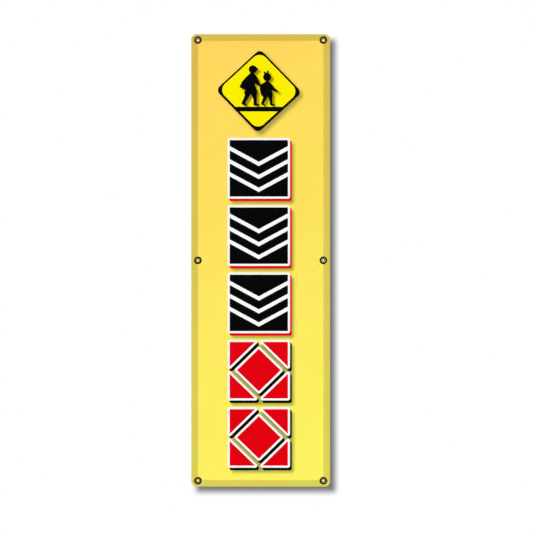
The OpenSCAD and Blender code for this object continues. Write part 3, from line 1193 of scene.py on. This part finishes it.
@dataclass(frozen=True)
class AgedBrass:
    """The pressed metal: darkened outside, rubbed to olive brass in the throat, with a bright rim of wear and
    painted highlight.

    Grain and scratches are noises, each with its scale per metre, its detail and its stretch.
    """

    cut: BannerCut
    name: str
    dark: tuple[int, int, int] = (9, 6, 3)
    patina: tuple[int, int, int] = (22, 16, 7)
    rubbed: tuple[int, int, int] = (130, 119, 36)
    worn_highlight: tuple[int, int, int] = (176, 154, 78)
    rubbed_r: tuple[float, float] = (7.8 * MM, 9.2 * MM)
    rub_wander: float = 1.6 * MM
    rim_inset: tuple[float, float] = (0.55 * MM, 0.2 * MM)
    grain: tuple[float, float] = (700.0, 4.0)
    grain_rise: tuple[float, float] = (0.3, 0.75)
    roughness: tuple[float, float] = (0.26, 0.44)
    clouds: Patches = Patches(240.0, 4.0, 0.35, 0.75)
    wear_and_highlight: Patches = Patches(260.0, 3.0, 0.42, 0.65, 0.1, 0.6)
    scratches: tuple[float, float, tuple[float, float, float]] = (900.0, 5.0, (1.0, 1.0, 0.15))
    scratch_depth: float = 0.02 * MM
    coat: float = 0.04
    coat_roughness: float = 0.28

    def material(self) -> bpy.types.Material:
        """Builds the material: patina by radius, fine scratches, and a rim of wear and painted highlight.

        Returns:
            The material.
        """
        book = NodeBook(bpy.data.materials.new(self.name))
        radius = book.eyelet_radius(self.cut)
        grain = book.noise(*self.grain)
        reach = book.math("MULTIPLY_ADD", grain, self.rub_wander, radius)
        colour = book.blend(self.clouds.on(book), linear(*self.dark), linear(*self.patina))
        colour = book.blend(book.ramp(reach, *self.rubbed_r, 1.0, 0.0), colour, linear(*self.rubbed))
        # The flange's rim brightens in patches: partly wear, partly a painted highlight that gives its edge
        # form.
        rim = book.ramp(radius, *(self.cut.flange_r - inset for inset in self.rim_inset))
        colour = book.blend(book.math("MULTIPLY", rim, self.wear_and_highlight.on(book)), colour, linear(*self.worn_highlight))
        relief = book.bump(book.noise(*self.scratches), self.scratch_depth)
        gloss = book.ramp(grain, *self.grain_rise, *self.roughness)
        book.finish(Base_Color=colour, Normal=relief, Roughness=gloss)
        return book.finish(Metallic=1.0, Coat_Weight=self.coat, Coat_Roughness=self.coat_roughness)


# The studio


@dataclass
class Studio:
    """The camera, the light, the wall close behind the banner and the pale floor below it."""

    cut: BannerCut
    lens: float = 200.0
    sensor: float = 36.0
    clip: tuple[float, float] = (0.1, 60.0)
    distance: float = 9.817
    aim: tuple[float, float] = (0.0195, -0.0204)
    wall_gap: float = 14 * MM
    wall_half_w: float = 1.3
    wall_top: float = 1.25
    floor_z: float = -1.05
    floor_half: float = 14.0
    floor_tone: float = 0.86
    floor_glow: float = 0.16
    # Painted on the wall: the drop shadow, and a ring of shade and a spot of light at each eyelet.
    shadow_shift: tuple[float, float] = (17.6 * MM, 18.3 * MM)
    shadow_spread: float = 2.3 * MM
    shadow_soft: float = 16.5 * MM
    shadow_level: float = 0.21
    ring_r: tuple[float, float] = (6 * MM, 9 * MM)
    spot_r: tuple[float, float] = (1.3 * MM, 3.6 * MM)
    spot_level: float = 1.4
    key_way: tuple[float, float, float] = (0.62, 1.0, -0.62)
    key_level: float = 0.69
    key_soft: float = 50.0
    back_way: tuple[float, float, float] = (-0.31, -1.0, -0.372)
    back_level: float = 0.60
    back_soft: float = 40.0
    dome_level: float = 0.29

    def camera(self) -> None:
        """A long lens straight at the banner, as the photograph has it."""
        data = bpy.data.cameras.new("camera")
        data.lens, data.sensor_width = self.lens, self.sensor
        data.clip_start, data.clip_end = self.clip
        camera = bpy.data.objects.new("camera", data)
        camera.location = (self.aim[0], -self.distance, self.aim[1])
        camera.rotation_euler = (math.pi / 2, 0.0, 0.0)
        bpy.context.scene.collection.objects.link(camera)
        bpy.context.scene.camera = camera

    def sun(self, name: str, way: tuple[float, float, float], level: float, soft: float) -> None:
        """A distant soft light.

        Args:
            name: The light's name.
            way: The direction in which it shines.
            level: How bright it makes a white surface that faces the banner's way, where 1 is white.
            soft: Its angular size in degrees.
        """
        data = bpy.data.lights.new(name, "SUN")
        direction = Vector(way).normalized()
        data.energy = level * math.pi / abs(direction.y)
        data.angle = math.radians(soft)
        lamp = bpy.data.objects.new(name, data)
        lamp.rotation_mode = "QUATERNION"
        lamp.rotation_quaternion = direction.to_track_quat("-Z", "Y")
        bpy.context.scene.collection.objects.link(lamp)

    def plane(
        self, name: str, corners: list[tuple[float, float, float]], material: bpy.types.Material
    ) -> bpy.types.Object:
        """A flat backdrop.

        Args:
            name: Its name.
            corners: Its four corners in turn.
            material: Its material.

        Returns:
            The backdrop.
        """
        mesh = bpy.data.meshes.new(name)
        mesh.from_pydata(corners, [], [(0, 1, 2, 3)])
        mesh.materials.append(material)
        plane = bpy.data.objects.new(name, mesh)
        bpy.context.scene.collection.objects.link(plane)
        return plane

    def painted_wall_light(self, book: NodeBook) -> bpy.types.NodeSocket:
        """The wall's glow: white, less a painted drop shadow, with a painted ring and spot at each eyelet.

        The painted shadow is a box whose edges fade by a smooth step each way, the two multiplied.
        Behind each eyelet lies a painted shadow of the ring, with a painted spot of light that its hole lets
        through.

        Args:
            book: The wall's book.

        Returns:
            The brightness, where 1 is white.
        """
        x, _, z = book.split(book.place)
        ways = (book.math("SUBTRACT", x, self.shadow_shift[0]), book.math("ADD", z, self.shadow_shift[1]))
        fades = []
        for way, half in zip(ways, self.cut.half):
            past = book.past(way, half + self.shadow_spread)
            fades.append(book.ramp(past, -self.shadow_soft, self.shadow_soft, 1.0, 0.0))
        shadow = book.math("MULTIPLY_ADD", book.math("MULTIPLY", *fades), self.shadow_level - 1.0, 1.0)
        radius = book.eyelet_radius(self.cut)
        ring = book.ramp(radius, *self.ring_r, self.shadow_level, 1.0)
        spot = book.ramp(radius, *self.spot_r, self.spot_level, 0.0)
        return book.math("MAXIMUM", book.math("MINIMUM", shadow, ring), spot)

    def wall(self) -> None:
        """A white wall close behind the banner, with the soft drop shadow that the picture has.

        Only the camera sees it, from its front, so it neither lights nor shades the object.
        """
        book = NodeBook(bpy.data.materials.new("wall_white_painted_shadow"))
        glow = book.node("ShaderNodeEmission")
        # The glow's strength holds the painted shadow and the painted spot of light.
        book.feed(glow.inputs["Strength"], self.painted_wall_light(book))
        clear = book.node("ShaderNodeBsdfTransparent")
        back = book.node("ShaderNodeNewGeometry").outputs["Backfacing"]
        mix = book.feed_all(book.node("ShaderNodeMixShader"), back, glow.outputs[0], clear.outputs[0])
        book.feed(book.tree.nodes["Material Output"].inputs[0], mix.outputs[0])
        w, y, low, high = self.wall_half_w, self.wall_gap, self.floor_z, self.wall_top
        wall = self.plane("wall", [(-w, y, low), (w, y, low), (w, y, high), (-w, y, high)], book.owner)
        wall.visible_diffuse = wall.visible_glossy = wall.visible_shadow = wall.visible_transmission = False

    def floor(self) -> None:
        """A plain pale floor with a glow that only the camera and reflections see."""
        book = NodeBook(bpy.data.materials.new("floor_pale"))
        book.finish(Base_Color=grey(self.floor_tone), Roughness=0.8, Specular_IOR_Level=0.1)
        glow = book.math("MULTIPLY", book.seen(), self.floor_glow)
        book.finish(Emission_Color=grey(1.0), Emission_Strength=glow)
        h, z = self.floor_half, self.floor_z
        floor = self.plane("floor", [(-h, -h, z), (h, -h, z), (h, h, z), (-h, h, z)], book.owner)
        floor.visible_diffuse = False

    def dome(self) -> None:
        """An even dome of light, which the camera and reflections see as white."""
        book = NodeBook(bpy.data.worlds.new("dome"), "Background")
        level = book.ramp(book.seen(), 0.0, 1.0, self.dome_level, 1.0)
        bpy.context.scene.world = book.finish(Color=grey(1.0), Strength=level)

    def build(self) -> None:
        """Sets up the whole studio."""
        bpy.context.scene.view_settings.view_transform = "Standard"
        self.camera()
        self.sun("key", self.key_way, self.key_level, self.key_soft)
        self.sun("back", self.back_way, self.back_level, self.back_soft)
        self.wall()
        self.floor()
        self.dome()


# The banner


@dataclass
class Banner:
    """The whole banner: the sheet, its ink and its eyelets."""

    cut: BannerCut = field(default_factory=BannerCut)
    scrim: Scrim = field(default_factory=Scrim)
    sign_step: float = 2.5 * MM

    def metal(self) -> list[bpy.types.Object]:
        """Gives the CAD eyelets and washers their finishes.

        Returns:
            The eyelets and washers.
        """
        washer = AgedBrass(
            self.cut, "washer_brass", dark=(96, 84, 50), patina=(110, 96, 58), rubbed=(142, 128, 80)
        )
        finishes = {"eyelet": AgedBrass(self.cut, "eyelet_brass").material(), "washer": washer.material()}
        pieces = []
        for name, node in sorted(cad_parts.items()):
            finish = finishes.get(name.split("_")[0])
            if finish is not None:
                node.data.materials.clear()
                node.data.materials.append(finish)
                pieces.append(node)
                log.info("metal %s", name)
        return pieces

    def print(self, hang: ClothHang) -> list[bpy.types.Object]:
        """Lays the four inks on the hanging cloth, the sign's yellow with the figures' shade on it.

        Args:
            hang: How the cloth lies.

        Returns:
            The four films.
        """
        inks = {
            "print_white": ("white_ink", (253, 253, 253)),
            "print_red": ("red_ink", (231, 0, 15)),
            "print_black": ("black_ink", (2, 2, 2)),
            "print_sign_yellow": ("yellow_ink", (255, 243, 0)),
        }
        pieces = []
        fields = {node: InkField(node, slot, hang) for node, (slot, _) in inks.items()}
        fields["print_sign_yellow"].step = self.sign_step
        for node, (slot, colour) in inks.items():
            on_sign = node == "print_sign_yellow"
            finish = Ink(slot, colour, self.scrim, shaded=on_sign).material()
            figures = fields["print_black"].figures() if on_sign else None
            pieces.append(fields[node].build(finish, figures))
            log.info("ink %s: %d faces", node, len(pieces[-1].data.polygons))
        return pieces

    def build(self) -> None:
        hang = ClothHang(self.cut)
        face = PrintedFace(self.cut, self.scrim)
        finishes = [face.material(), BareBack(self.scrim).material(), face.material(back=True)]
        sheet = TarpaulinSheet(self.cut, hang).build(finishes)
        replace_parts(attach(sheet, "root"), "banner_sheet")
        log.info("sheet: %d faces", len(sheet.data.polygons))
        prints = self.print(hang)
        metal = self.metal()


def main() -> None:
    """Builds the banner and the studio in order."""
    logging.basicConfig(level=logging.INFO, format="%(name)s: %(message)s")
    banner = Banner()
    banner.build()
    Studio(banner.cut).build()


if __name__ == "__main__":
    main()
